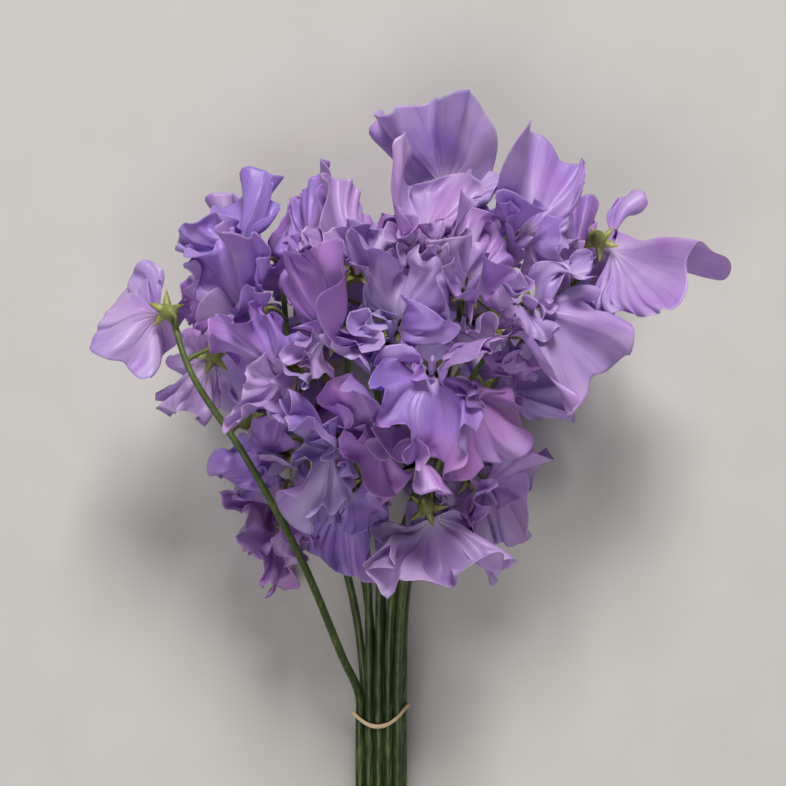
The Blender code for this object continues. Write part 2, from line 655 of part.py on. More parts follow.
def main():
    clear_scene()
    green = material("stem_green", (0.10, 0.20, 0.05), 0.55)
    violet = material("petal_violet", (0.45, 0.32, 0.78), 0.60)
    tan = material("band_tan", (0.72, 0.55, 0.36), 0.50)
    stems = [[Bloom(i, j, spec) for j, spec in enumerate(stem["blooms"])] for i, stem in enumerate(STEMS)]
    paths = [stem_path(stem) for stem in STEMS]
    bars = keep_outs(stems, paths)
    everyone = [bloom for blooms in stems for bloom in blooms]
    for number, (blooms, path) in enumerate(zip(stems, paths), start=1):
        make_stem(number, blooms, path, green)
    for bloom in everyone:
        make_bloom(bloom, room_planes(bloom, everyone, bars), violet)
    make_band(tan)


main()
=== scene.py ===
"""Looks of a tied bunch of sweet pea stems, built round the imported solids.

Every bloom, stem and the rubber band gets a finer piece that keeps the form of its solid: thin ruffled
petals, round ridged stems, cupped calyces with pointed sepals. The design below is written in
millimetres from the middle of the band, as the solids are.
"""

import math

import bpy
import numpy as np
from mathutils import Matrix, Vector


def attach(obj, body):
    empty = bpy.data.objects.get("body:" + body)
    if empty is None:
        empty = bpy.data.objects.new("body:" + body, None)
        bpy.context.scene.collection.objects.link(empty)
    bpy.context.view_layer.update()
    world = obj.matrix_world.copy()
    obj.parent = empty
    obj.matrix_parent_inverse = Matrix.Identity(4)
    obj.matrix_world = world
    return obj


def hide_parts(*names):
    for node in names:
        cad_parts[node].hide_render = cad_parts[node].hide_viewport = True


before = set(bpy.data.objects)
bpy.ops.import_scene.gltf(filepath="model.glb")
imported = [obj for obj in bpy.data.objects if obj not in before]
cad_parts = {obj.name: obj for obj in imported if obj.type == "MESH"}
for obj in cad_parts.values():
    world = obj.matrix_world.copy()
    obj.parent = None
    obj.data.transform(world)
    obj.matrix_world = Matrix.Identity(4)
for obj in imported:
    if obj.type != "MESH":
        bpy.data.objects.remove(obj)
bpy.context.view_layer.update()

MM = 0.001

# ---- the bunch's dimensions, in millimetres ----
BUNCH_CENTRE = (12.6, 69.5)     # the frame's origin, from the middle of the band
TIE_HEIGHT = 23.0
TAIL_HEIGHT = 4.5
TAIL_LENGTH = 116.0
TAIL_SLOPE = (TIE_HEIGHT - TAIL_HEIGHT) / TAIL_LENGTH
STEM_R_TAIL = 1.95
STEM_R_TIE = 1.85
STEM_R_TIP = 1.15
ROW_PITCH = 4.15
ROW_RISE = 1.85
BAND_GAP = 0.35
BAND_THICK = 1.1
BAND_WIDTH = 2.0
BAND_SAG = 4.9
BAND_BOW = 0.05
BAND_TILT = 0.16
BAND_RUN = 7.0
CALYX_LENGTH = 8.0
CALYX_R = 2.9
CALYX_WALL = 0.35
SEPAL_REACH = 8.3
SEPAL_HALF = 2.35               # half its width where it leaves the calyx
SEPAL_THICK = 0.42
STALK_R = 0.95
STALK_DROP = 4.0
STALK_ROOM = 1.3
FLOOR_PRESS = 12.0
CLAW_LENGTH = 5.0
CLAW_SHARE = 0.15
CLAW_FADE = 4.0
BANNER_HEIGHT = 39.0
BANNER_SPREAD = math.radians(97)
BANNER_CLAW = 1.5
BANNER_RISE = math.radians(42)
BANNER_TURN = 15.0
BANNER_FOLD = 16.0              # a half is fully folded this far from the midline
NOTCH_DEPTH = 0.16              # the notch at the banner's top, as a share of its height
NOTCH_WIDTH = 0.12              # and of its half width
WING_LENGTH = 33.0
WING_SPREAD = math.radians(78)
WING_CLAW = 1.1
WING_RISE = math.radians(24)
WING_TURN = 22.0
WING_CLEAR = 2.6
KEEL_LENGTH = 17.0
FULL_TURN = 6.28
BANNER_FAN = ((0.13, 4.4, 4), (0.07, 7.4, 5))       # waves across the fan: (height, rate, which draw)
WING_FAN = ((0.10, 3.6, 12), (0.06, 6.5, 14))

# ---- each bloom's room ----
ROOM_AHEAD = 10.0               # its middle lies this far in front of the calyx
ROOM_UP = 12.0                  # and this far towards the top of the banner
ROOM_RADIUS = 22.0
ROOM_SHARE = (0.25, 0.75)       # the least and most of the gap between two blooms that one may take
BLOOM_REACH = 75.0              # blooms further apart than this don't press on each other
BAR_REACH = 45.0                # nor does a stem or stalk that is further off than this
PRESS_SOFTNESS = (8.0, 3.0, 1.0)    # how far before its room's edge a petal starts to bend, round by round
PRESS_ROUNDS = 12               # then rounds that push what still sticks out exactly onto the edge
PRESS_FREE = (3.0, 7.0)         # next to the calyx a petal isn't pressed: (up to here, fading over this)

# ---- how thick and how fine the pieces are ----
PETAL_THICK = 0.26
RIM_TAPER = 0.75                # how much of a petal's thickness is gone at its rim
FLOOR_CLEAR = 0.05              # a petal that lies down stays this far above the surface
STEM_RIDGES = 5
RIDGE_HEIGHT = 0.035            # as a share of the stem's radius
BANNER_GRID = (96, 24)          # panels across and along
WING_GRID = (56, 18)
STEM_SIDES = 16
STEM_STEPS = 90
STALK_SIDES = 10
STALK_STEPS = 10
KEEL_GRID = (14, 16)            # rings and sides
CALYX_GRID = (10, 30)
SEPAL_GRID = (12, 7)            # rows and columns of points
BAND_SECTIONS = 120
BAND_SIDES = 12

# ---- ruffles ----
RELAX_ROUNDS = 4
RUFFLE_START = 0.22             # waves begin this far along a petal
RUFFLE_HEIGHT = 5.6
SMALL_SHARE = 0.45              # the small waves' height, as a share of the big ones'
RUFFLE_CURL = 0.42              # how far a wave's sides lean over, for each millimetre of its height
BANNER_WAVES = 4.0              # whole waves along the rim
WING_WAVES = 2.8
PLEAT_HEIGHT = 0.22

# ---- colours ----
PETAL_TINTS = [(0.18, (0.415, 0.27, 0.79)), (0.45, (0.48, 0.265, 0.77)),
               (0.62, (0.54, 0.27, 0.76)), (0.85, (0.63, 0.295, 0.76))]
PETAL_PALE = (0.77, 0.67, 0.89)
PETAL_VEIN = (0.22, 0.12, 0.50)
PETAL_CLAW = (0.72, 0.70, 0.70)
# the rim colour is a painted highlight: light shining through the thin petal edges
PETAL_RIM_HIGHLIGHT = (0.80, 0.70, 0.88)
PETAL_THROUGH = (0.56, 0.18, 0.74)                  # tints the light that shines through
# greens from 0 to 1: the lowest stops are painted shade on the lower stems, the higher ones the own
# yellow-green of young stalks, calyces and sepals
SHADE_TO_YOUNG_GREENS = [(0.0, (0.021, 0.045, 0.005)), (0.30, (0.095, 0.138, 0.026)),
          (0.62, (0.19, 0.22, 0.045)), (1.0, (0.36, 0.38, 0.085))]
GREEN_STREAK = (0.160, 0.200, 0.060)
GREEN_BLOTCH = (0.013, 0.029, 0.003)
# a painted highlight along each sepal's middle
GREEN_RIB_HIGHLIGHT = (0.56, 0.60, 0.27)
RUBBER = [(0.3, (0.60, 0.43, 0.23)), (0.7, (0.80, 0.64, 0.41))]
FLOOR = [(0.3, (0.600, 0.586, 0.566)), (0.7, (0.625, 0.611, 0.591))]

# ---- lights and camera, in metres unless the name says otherwise ----
LIT_POINT = (0.0, 0.05, 0.06)
KEY_LIGHT = dict(place=(0.25, 2.50, 2.12), size=1.05, power=95.5, colour=(1.0, 0.985, 0.955))
FRONT_LIGHT = dict(place=(-0.25, -0.60, 1.35), size=1.0, power=7.4, colour=(1.0, 0.985, 0.965))
WORLD_COLOUR = (1.0, 0.98, 0.96, 1.0)
WORLD_STRENGTH = 0.125
FLOOR_SIZE = 6.0
FLOOR_DROP = 0.0003             # keeps the floor just under what lies on it
CAMERA_MM = (5.2, 138.4, 680.0)
CAMERA_LENS_MM = 69.3
CAMERA_SENSOR_MM = 36.0

# ---- the bunch, stem by stem ----
# slot: place in the bundle, as (column, row), row 0 in front and 1 behind.
# route: points that the stem passes above the band. The last is its tip.
# blooms: (mouth of the calyx, way it faces, way its banner rises, size), tip first.
STEMS = [
    dict(slot=(0, 0), route=[(-16, 25, 35), (-33, 71, 58), (-54, 114, 79), (-76, 150, 84),
                             (-83, 170, 78)], blooms=[
        ((-85, 171, 77), (-6, 3, -10), (-20, -24, 2), 0.73),
        ((-68, 153, 64), (-3, -4, -9), (-4, -10, 1), 0.66),
        ((-54, 128, 54), (6, 4, -8), (1, 10, 0), 0.95),
        ((-34, 92, 46), (4, -9, 1), (6, 3, -8), 0.95)]),
    dict(slot=(0, 1), route=[(-15, 62, 28), (-26, 95, 38), (-37, 150, 58), (-41, 194, 58)], blooms=[
        ((-53, 195, 60), (-9, 1, 5), (-1, 10, 4), 0.92),
        ((-50, 170, 78), (-6, -3, 8), (-3, 10, 0), 0.95),
        ((-34, 146, 90), (-4, -4, 10), (-6, 8, 0), 1.00),
        ((-40, 113, 60), (-3, -7, 7), (-5, 8, 0), 0.85)]),
    dict(slot=(1, 0), route=[(-6, 70, 36), (-10, 115, 58), (-14, 160, 72), (-17, 194, 62)], blooms=[
        ((-24, 193, 68), (-6, 0, 8), (-8, 10, 4), 0.90),
        ((-9, 186, 92), (3, 4, 9), (2, 10, 0), 0.95),
        ((-17, 160, 97), (-3, -2, 10), (-3, 10, 0), 1.00),
        ((-16, 120, 84), (-3, -6, 8), (-5, 5, 0), 1.00),
        ((-14, 100, 56), (-1, -6, 9), (-3, -10, 3), 0.95)]),
    dict(slot=(2, 0), route=[(0, 70, 36), (4, 120, 60), (10, 165, 68), (19, 205, 58)], blooms=[
        ((26, 219, 58), (1, 3, -10), (-2, 10, 3), 1.03),
        ((18, 194, 86), (-2, 3, 10), (0, 10, 0), 1.00),
        ((6, 164, 97), (-2, -1, 10), (3, 10, 0), 1.00),
        ((4, 124, 90), (-1, -7, 8), (-3, 7, 0), 1.00)]),
    dict(slot=(3, 0), route=[(7, 70, 38), (20, 115, 64), (30, 160, 76), (37, 200, 70)], blooms=[
        ((54, 199, 80), (2, -2, 10), (7, 10, 2), 1.07),
        ((34, 178, 96), (2, 2, 10), (3, 10, 0), 1.00),
        ((20, 146, 100), (0, 5, 10), (-1, -10, 7), 1.00),
        ((49, 160, 86), (2, -9, 4), (-8, 0, 6), 0.90)]),
    dict(slot=(4, 1), route=[(14, 70, 34), (38, 125, 52), (68, 172, 60), (86, 190, 60)], blooms=[
        ((88, 199, 74), (4, -3, -9), (18, -8, 2), 1.12),
        ((74, 186, 66), (4, 2, 9), (3, 10, 0), 0.95),
        ((58, 172, 90), (0, 2, 10), (7, -8, 1), 1.05)]),
    dict(slot=(4, 0), route=[(11, 65, 44), (18, 92, 58), (28, 122, 70)], blooms=[
        ((29, 141, 90), (5, 2, 10), (4, -10, 0), 0.90),
        ((38, 103, 56), (6, -5, 5), (4, -9, -2), 0.95),
        ((19, 92, 70), (2, -4, -10), (4, -10, -2), 0.95)]),
    dict(slot=(1, 1), route=[(-9, 65, 20), (-18, 95, 24), (-36, 140, 36), (-48, 172, 42)], blooms=[
        ((-60, 180, 38), (-10, 3, -3), (0, 10, 3), 0.95),
        ((-26, 149, 21), (-3, 0, -10), (-10, 4, 0), 1.15),
        ((-40, 109, 30), (-10, -4, 0), (-3, 10, 3), 0.95),
        ((-42, 77, 24), (-8, -7, 2), (-8, 6, 0), 0.85)]),
    dict(slot=(2, 1), route=[(0, 65, 19), (-2, 110, 30), (0, 155, 38), (4, 188, 42)], blooms=[
        ((7, 196, 37), (-2, 10, -2), (-8, 3, 4), 1.06),
        ((-20, 182, 32), (-5, 4, -10), (-6, 8, 0), 1.05),
        ((4, 148, 20), (2, -3, -10), (10, 2, 0), 1.15),
        ((-3, 112, 21), (-2, -6, -8), (-10, 2, 0), 1.15)]),
    dict(slot=(3, 1), route=[(8, 65, 19), (20, 110, 28), (42, 150, 38), (58, 172, 40)], blooms=[
        ((72, 178, 36), (10, 2, -4), (0, 10, 4), 0.95),
        ((38, 190, 32), (2, 6, -10), (-4, 8, 0), 1.10),
        ((45, 142, 22), (5, -3, -8), (-4, 10, 0), 1.00),
        ((28, 106, 22), (5, -6, -7), (6, -5, 0), 1.00)]),
]


# Blooms whose shape or colour is listed here. The others draw theirs.
# folds: how far the banner's left and right half is folded forward (+) or back (-), in degrees.
# wings, ruffles: how long the wings are and how high the ruffles, as shares of the usual.
# hue: from bluish (-1) to pink (1). pale: from full colour (0) to pale (1).
SHAPES = {
    "bloom_01_1": dict(folds=(70, -10), wings=0.75, ruffles=0.35, hue=0.0, pale=0.7),
    "bloom_01_2": dict(folds=(70, 60)),
    "bloom_01_4": dict(folds=(30, 10)),
    "bloom_02_4": dict(folds=(60, -10)),
    "bloom_03_3": dict(folds=(-60, 65), ruffles=1.2),
    "bloom_03_4": dict(folds=(-65, 60), ruffles=1.25),
    "bloom_04_1": dict(folds=(60, 50), ruffles=0.7, hue=-0.5, pale=0.7),
    "bloom_04_2": dict(folds=(95, 20), hue=0.9, pale=0.8),
    "bloom_05_1": dict(folds=(45, 0), ruffles=0.6, hue=0.0, pale=0.5),
    "bloom_06_1": dict(folds=(-15, 95), wings=0.8, ruffles=0.85, hue=0.2, pale=0.6),
    "bloom_06_2": dict(folds=(20, 10), wings=0.85),
    "bloom_06_3": dict(folds=(-30, 20), hue=0.1, pale=0.7),
    "bloom_07_1": dict(folds=(0, 30), ruffles=0.7),
    "bloom_07_2": dict(folds=(85, 30), wings=0.85),
    "bloom_07_3": dict(folds=(-35, 30), ruffles=1.7, hue=0.1, pale=1.0),
    "bloom_10_3": dict(folds=(10, 30)),
}


# ---- small geometry helpers ----
def unit(vectors):
    """A vector, or each vector of an array, at length 1."""
    vectors = np.asarray(vectors, float)
    return vectors / np.maximum(np.linalg.norm(vectors, axis=-1, keepdims=True), 1e-9)


def smoothstep(x):
    x = np.clip(x, 0.0, 1.0)
    return x * x * (3.0 - 2.0 * x)


def smooth_route(knots, steps):
    """Even points on a smooth curve through the knots, and how far along it each one lies."""
    knots = np.array(knots, float)
    spans = np.linalg.norm(np.diff(knots, axis=0), axis=1)[:, None]
    slopes = np.diff(knots, axis=0) / spans
    inner = (spans[:-1] * slopes[1:] + spans[1:] * slopes[:-1]) / (spans[:-1] + spans[1:])
    tangents = np.vstack([slopes[:1], inner, slopes[-1:]])
    t = np.linspace(0.0, 1.0, 24, endpoint=False)[:, None]
    dense = [(2 * t ** 3 - 3 * t ** 2 + 1) * knots[i] + (t ** 3 - 2 * t ** 2 + t) * spans[i] * tangents[i]
             + (3 * t ** 2 - 2 * t ** 3) * knots[i + 1] + (t ** 3 - t ** 2) * spans[i] * tangents[i + 1]
             for i in range(len(knots) - 1)]
    dense = np.vstack([*dense, knots[-1:]])
    along = np.concatenate([[0.0], np.cumsum(np.linalg.norm(np.diff(dense, axis=0), axis=1))])
    wanted = np.linspace(0.0, along[-1], steps)
    points = np.stack([np.interp(wanted, along, dense[:, i]) for i in range(3)], axis=1)
    return points, wanted


def bloom_axes(face, banner):
    """Rows: right, up (the way the banner rises) and forward (the way the bloom faces)."""
    forward = unit(face)
    up = unit(np.asarray(banner, float) - np.dot(banner, forward) * forward)
    return np.array([np.cross(up, forward), up, forward])


def wander(places, rng, knots):
    """Smooth random values from -1 to 1 at places from 0 to 1, with this many knots between them."""
    values = rng.uniform(-1.0, 1.0, knots + 3)
    at = np.clip(places, 0.0, 1.0) * knots
    low = np.minimum(at.astype(int), knots)
    return values[low] + (values[low + 1] - values[low]) * smoothstep(at - low)


class Bloom:
    """Where one bloom sits and what shapes it. Everything is in millimetres."""

    def __init__(self, stem, number, spec):
        mouth, face, banner, size = spec
        self.size = size
        self.name = f"bloom_{stem + 1:02d}_{number + 1}"
        self.shape = SHAPES.get(self.name, {})
        self.mouth = np.array(mouth, float)
        self.axes = bloom_axes(face, banner)
        self.base = self.mouth - self.axes[2] * CALYX_LENGTH
        self.centre = self.mouth + (ROOM_AHEAD * self.axes[2] + ROOM_UP * self.axes[1]) * size
        self.room = ROOM_RADIUS * size
        self.seed = 17 * stem + 5 * number
        self.hue = self.shape.get("hue", self.draw(-1, 1, 40))

    def draw(self, low, high, which):
        """A fixed random value for this bloom."""
        return np.random.default_rng(1000 * which + self.seed).uniform(low, high)

    def place(self, local):
        return self.mouth + local @ self.axes


def slot_place(column, row):
    """Where a stem lies in the bundle's cross-section: across, and above its middle."""
    return (column - 2 + (row - 0.5) / 2) * ROW_PITCH, ROW_RISE * (1 - 2 * row)


def stem_path(stem):
    across, rise = slot_place(*stem["slot"])
    uneven = 5.0 * math.sin(2.1 * stem["slot"][0] + 1.7 * stem["slot"][1])
    straight = [(across, y, TIE_HEIGHT + TAIL_SLOPE * y + rise)
                for y in (-TAIL_LENGTH - uneven, -TAIL_LENGTH / 2, -BAND_RUN, BAND_RUN)]
    return smooth_route([*straight, *stem["route"]], STEM_STEPS)


def stalk_path(bloom, path, steps):
    """The flower stalk, from inside the stem to the calyx, leaving a little below the bloom."""
    centres, along = path
    fine = np.linspace(0.0, along[-1], 400)
    points = np.stack([np.interp(fine, along, centres[:, i]) for i in range(3)], axis=1)
    nearest = fine[np.argmin(np.linalg.norm(points - bloom.base, axis=1))]
    root_at = np.clip(nearest - STALK_DROP, 0.0, along[-1] - 1.5)
    root = np.array([np.interp(root_at, along, centres[:, i]) for i in range(3)])
    reach = np.linalg.norm(bloom.base - root)
    bend = bloom.base - bloom.axes[2] * 0.4 * reach
    return np.array([(1 - t) ** 2 * root + 2 * t * (1 - t) * bend + t * t * bloom.base
                     for t in np.linspace(0.0, 1.0, steps)])


# ---- each bloom's own room, so that petals press against their neighbours ----
def keep_outs(stems, paths):
    """Round bars that no petal may enter: (start, end, radius, the bloom they belong to or None)."""
    bars = []
    for blooms, path in zip(stems, paths):
        coarse = path[0][::6]
        for start, end in zip(coarse, coarse[1:]):
            bars.append((start, end, STEM_R_TIE, None))
        for bloom in blooms:
            root, middle, base = stalk_path(bloom, path, 3)
            forward = bloom.axes[2]
            bars.append((root, middle, STALK_ROOM, bloom))
            bars.append((middle, base, STALK_ROOM, bloom))
            bars.append((base, bloom.mouth, CALYX_R + 0.6, bloom))
            bars.append((bloom.mouth, bloom.mouth + 1.5 * forward, SEPAL_REACH, bloom))
    return bars


def room_planes(bloom, blooms, bars):
    """Half-spaces (normal, distance) that hold this bloom: dot(normal, point) stays under distance."""
    planes = [(np.array([0.0, 0.0, -1.0]), FLOOR_PRESS)]
    for other in blooms:
        apart = other.centre - bloom.centre
        gap = np.linalg.norm(apart)
        if other is bloom or gap > BLOOM_REACH:
            continue
        share = 0.5 + (bloom.room ** 2 - other.room ** 2) / (2 * gap * gap)
        share = np.clip(share, *ROOM_SHARE)
        normal = apart / gap
        planes.append((normal, np.dot(normal, bloom.centre + share * apart)))
    for start, end, radius, owner in bars:
        if owner is bloom:
            continue
        run = end - start
        t = np.clip(np.dot(bloom.centre - start, run) / np.dot(run, run), 0.0, 1.0)
        closest = start + t * run
        apart = closest - bloom.centre
        gap = np.linalg.norm(apart)
        if gap > BAR_REACH or gap < radius + 1.0:
            continue
        normal = apart / gap
        planes.append((normal, np.dot(normal, closest) - radius))
    return planes


def press(points, bloom, planes):
    """Bends points back where they reach past the planes, softly first and then exactly."""
    free_until, fade = PRESS_FREE
    free = smoothstep((np.linalg.norm(points - bloom.mouth, axis=1) - free_until) / fade)[:, None]
    for reach in PRESS_SOFTNESS:
        moved = points.copy()
        for normal, limit in planes:
            past = moved @ normal - limit
            near = np.maximum(past, -reach)
            eased = np.where(past < -reach, past, -reach * np.exp(-(near + reach) / reach))
            moved += (eased - past)[:, None] * normal
        points = points + free * (moved - points)
    for _ in range(PRESS_ROUNDS):
        for normal, limit in planes:
            past = np.maximum(points @ normal - limit, 0.0)
            points = points - free * past[:, None] * normal
    return points


# ---- petals, as points in the bloom's own right, up, forward axes ----
def midline(lengths, start_angle, end_angle, turn_over):
    """Up and forward places along a curve that starts forward and bends up."""
    fine = np.linspace(-8.0, 60.0, 341)
    angle = start_angle + (end_angle - start_angle) * smoothstep(fine / turn_over)
    step = fine[1] - fine[0]
    up = np.cumsum(np.sin(angle)) * step
    forward = np.cumsum(np.cos(angle)) * step
    zero = np.searchsorted(fine, 0.0)
    up -= up[zero]
    forward -= forward[zero]
    tilt = np.interp(lengths, fine, angle)
    return np.interp(lengths, fine, up), np.interp(lengths, fine, forward), tilt


def claw_and_blade(u, v, claw_half, outline, spread):
    """Flat places on a petal. u runs from edge to edge, v from the claw's root (0) to the rim (1)."""
    strip = np.clip(v / CLAW_SHARE, 0.0, 1.0)
    out = np.clip((v - CLAW_SHARE) / (1.0 - CLAW_SHARE), 0.0, 1.0) * outline
    angle = u * spread
    across = claw_half * u * (0.6 + 0.4 * strip) * np.exp(-out / CLAW_FADE) + out * np.sin(angle)
    return across, CLAW_LENGTH * strip + out * np.cos(angle), out, angle


def fold_about(distance, angle, reach):
    """Bends what lies this far from a crease: how far sideways it then lies, and how far up."""
    fine = np.linspace(0.0, 60.0, 121)
    bent = angle * smoothstep(fine / reach)
    sideways = np.concatenate([[0.0], np.cumsum(np.cos(bent[1:]))]) * fine[1]
    up = np.concatenate([[0.0], np.cumsum(np.sin(bent[1:]))]) * fine[1]
    return np.interp(distance, fine, sideways), np.interp(distance, fine, up)


def banner_folds(bloom):
    """How far the banner's left and right halves are folded forward (+) or back (-)."""
    drawn = (bloom.draw(-55, 75, 30), bloom.draw(-55, 75, 31))
    return np.radians(bloom.shape.get("folds", drawn))


def fan_wave(bloom, angle, waves, side=0):
    """Shallow waves across a petal, as shares of the distance from its claw."""
    return sum(height * np.sin(rate * angle + bloom.draw(0, FULL_TURN, which + side))
               for height, rate, which in waves)


def banner_points(bloom, u, v):
    """The large upright petal: notched at the top, folded along its middle and waved like a fan."""
    shoulders = 1.0 - 0.50 * np.abs(u) ** 3 + 0.09 * np.sin(math.pi * u) ** 2
    notch = 1.0 - NOTCH_DEPTH * np.exp(-(u / NOTCH_WIDTH) ** 2)
    outline = BANNER_HEIGHT * shoulders * notch
    across, along, out, angle = claw_and_blade(u, v, BANNER_CLAW, outline, BANNER_SPREAD)
    left, right = banner_folds(bloom)
    left_x, left_up = fold_about(np.abs(across), left, BANNER_FOLD)
    right_x, right_up = fold_about(np.abs(across), right, BANNER_FOLD)
    x = np.where(across < 0, -left_x, right_x)
    lift = np.where(across < 0, left_up, right_up) * smoothstep(out / 8.0)
    lift += out * fan_wave(bloom, angle, BANNER_FAN) * smoothstep(out / 20.0)
    lift -= 1.3 * np.exp(-(across / 3.0) ** 2) * out / BANNER_HEIGHT
    end_angle = math.radians(bloom.draw(88, 122, 1))
    up, forward, tilt = midline(along, BANNER_RISE, end_angle, BANNER_TURN)
    forward = forward + 1.6 * np.minimum(out / 9.0, 1.0)
    places = [x, up - lift * np.cos(tilt), forward + lift * np.sin(tilt)]
    return np.stack(places, axis=-1) * bloom.size


def left_wing(bloom, u, v):
    return wing_points(bloom, -1, u, v)


def right_wing(bloom, u, v):
    return wing_points(bloom, 1, u, v)


def wing_points(bloom, side, u, v):
    """A wing, left (-1) or right (1), which flares outwards beside the keel."""
    outline = WING_LENGTH * bloom.shape.get("wings", 1.0) * (1.0 - 0.40 * np.abs(u) ** 2.4)
    across, along, out, angle = claw_and_blade(u, v, WING_CLAW, outline, WING_SPREAD)
    flare = math.radians(bloom.draw(48, 96, 6 + side))
    lean = math.radians(bloom.draw(12, 46, 8 + side))
    sideways, forward, _ = midline(along, WING_RISE, flare, WING_TURN)
    wave = out * fan_wave(bloom, angle, WING_FAN, side) * smoothstep(out / 16.0)
    dome = bloom.draw(0.008, 0.022, 16 + side) * across ** 2 + wave
    x = 0.6 + sideways - across * math.sin(lean) - dome * math.cos(lean)
    clear = WING_CLEAR * np.minimum(out / 5.0, 1.0)
    x = np.where(out > 0, clear + 1.5 * np.logaddexp(0.0, (x - clear) / 1.5), x)
    droop = bloom.draw(0.08, 0.30, 18 + side) * along * smoothstep(out / 14.0)
    y = across * math.cos(lean) - dome * math.sin(lean) - droop - 0.3
    return np.stack([side * x, y, forward + 0.3], axis=-1) * bloom.size


# ---- ruffles, on a grid of points (rings, panels, 3) ----
def grid_frame(grid):
    """At each grid point: the surface's normal and the way along the rim."""
    across = np.gradient(grid, axis=1)
    along = np.gradient(grid, axis=0)
    return unit(np.cross(across, along)), unit(across)


def relax(grid, rounds):
    """Evens out the kinks that pressing leaves, and keeps the claw where it is."""
    for _ in range(rounds):
        middle = grid.copy()
        middle[1:-1] = 0.5 * grid[1:-1] + 0.25 * (grid[:-2] + grid[2:])
        sides = middle.copy()
        sides[:, 1:-1] = 0.5 * middle[:, 1:-1] + 0.25 * (middle[:, :-2] + middle[:, 2:])
        grid = np.concatenate([grid[:4], sides[4:]])
    return grid


def crease(phase, sharp):
    """A wave from -1 to 1, round where sharp is 0 and folded in straight creases where it is 1."""
    return np.sin(phase) * (1.0 - sharp) + np.arcsin(0.985 * np.sin(phase)) * 0.68 * sharp


def ruffle(grid, u, v, rng, waves, height):
    """Gathers a petal's rim in waves whose sides lean over. Nearer the claw the waves are sharp creases."""
    normal, side = grid_frame(grid)
    rim = (u + 1.0) / 2.0
    rise = np.clip((v - RUFFLE_START) / (1.0 - RUFFLE_START), 0.0, 1.0)
    sharp = 1.0 - smoothstep(rise * 1.25)
    drift = 0.16 * wander(rim, rng, 3) + 0.05 * rise * wander(v, rng, 3)
    phase = math.tau * (waves * (rim + drift) + rng.uniform())
    big = height * (0.80 + 0.60 * wander(rim, rng, 4)) * rise ** 1.5
    small = SMALL_SHARE * height * (0.6 + 0.4 * wander(rim, rng, 5)) * rise ** 2.0
    small_phase = 2.7 * phase + 3.0 * wander(rim, rng, 5)
    lift = big * crease(phase, sharp) + small * crease(small_phase, sharp)
    lean = -RUFFLE_CURL * (big * np.sin(2.0 * phase) + 0.6 * small * np.sin(2.0 * small_phase))
    blade = np.sin(math.pi * np.clip((v - CLAW_SHARE) / (1.0 - CLAW_SHARE), 0.0, 1.0) ** 0.7)
    pleats = PLEAT_HEIGHT * wander(rim, rng, int(9 * waves)) * blade
    return grid + (lift + pleats)[..., None] * normal + lean[..., None] * side


# ---- meshes and objects ----
def to_frame(points):
    """Design millimetres to the frame's metres."""
    return (np.asarray(points, float) - np.array([*BUNCH_CENTRE, 0.0])) * MM


class Shape:
    """Points, faces and per-point values of one piece, gathered from its parts."""

    def __init__(self):
        self.points, self.faces, self.values = [], [], {}
        self.count = 0

    def add(self, points, faces, **values):
        points = np.asarray(points, float).reshape(-1, 3)
        self.points.append(points)
        self.faces += [tuple(self.count + i for i in face) for face in faces]
        for key, value in values.items():
            value = np.broadcast_to(np.asarray(value, float).reshape(-1), (len(points),))
            self.values.setdefault(key, []).append(value)
        self.count += len(points)

    def build(self, name, look):
        mesh = bpy.data.meshes.new(name)
        mesh.from_pydata(to_frame(np.vstack(self.points)).tolist(), [], self.faces)
        mesh.polygons.foreach_set("use_smooth", [True] * len(mesh.polygons))
        for key, parts in self.values.items():
            made = mesh.attributes.new(key, "FLOAT", "POINT")
            made.data.foreach_set("value", np.concatenate(parts).astype(np.float32))
        mesh.materials.append(look)
        mesh.update()
        made = bpy.data.objects.new(name, mesh)
        bpy.context.scene.collection.objects.link(made)
        return made


def grid_faces(rows, columns, start, flip):
    """Quads of a grid of points, numbered row by row."""
    faces = []
    for r in range(rows - 1):
        for c in range(columns - 1):
            a = start + r * columns + c
            quad = (a, a + 1, a + columns + 1, a + columns)
            faces.append(quad[::-1] if flip else quad)
    return faces


def sheet_faces(rows, columns):
    """Faces of a thin closed sheet: its front grid, its back grid and the strip round the edge."""
    back = rows * columns
    faces = grid_faces(rows, columns, 0, False) + grid_faces(rows, columns, back, True)
    edge = list(range(columns))
    edge += [r * columns + columns - 1 for r in range(1, rows)]
    edge += [(rows - 1) * columns + c for c in range(columns - 2, -1, -1)]
    edge += [r * columns for r in range(rows - 2, 0, -1)]
    for a, b in zip(edge, edge[1:] + edge[:1]):
        faces.append((b, a, back + a, back + b))
    return faces


def ring_faces(count, sides):
    """Faces of a tube made of rings of points, with a flat cap on each end."""
    faces = []
    for r in range(count - 1):
        for s in range(sides):
            a, b = r * sides + s, r * sides + (s + 1) % sides
            faces.append((a, b, b + sides, a + sides))
    faces.append(tuple(range(sides))[::-1])
    faces.append(tuple(range((count - 1) * sides, count * sides)))
    return faces


def tube(centres, radii, sides, start_side, ridge=0.0):
    """Points and faces of a closed round tube, and how far along it each point is (0 to 1)."""
    tangents = unit(np.gradient(centres, axis=0))
    turns = np.arange(sides)[:, None] * math.tau / sides
    side = np.asarray(start_side, float)
    rings = []
    for point, tangent, radius in zip(centres, tangents, radii):
        side = unit(side - np.dot(side, tangent) * tangent)
        round_about = np.cos(turns) * side + np.sin(turns) * np.cross(tangent, side)
        rings.append(point + radius * (1.0 + ridge * np.cos(STEM_RIDGES * turns)) * round_about)
    along = np.repeat(np.linspace(0.0, 1.0, len(rings)), sides)
    return np.vstack(rings), ring_faces(len(rings), sides), along


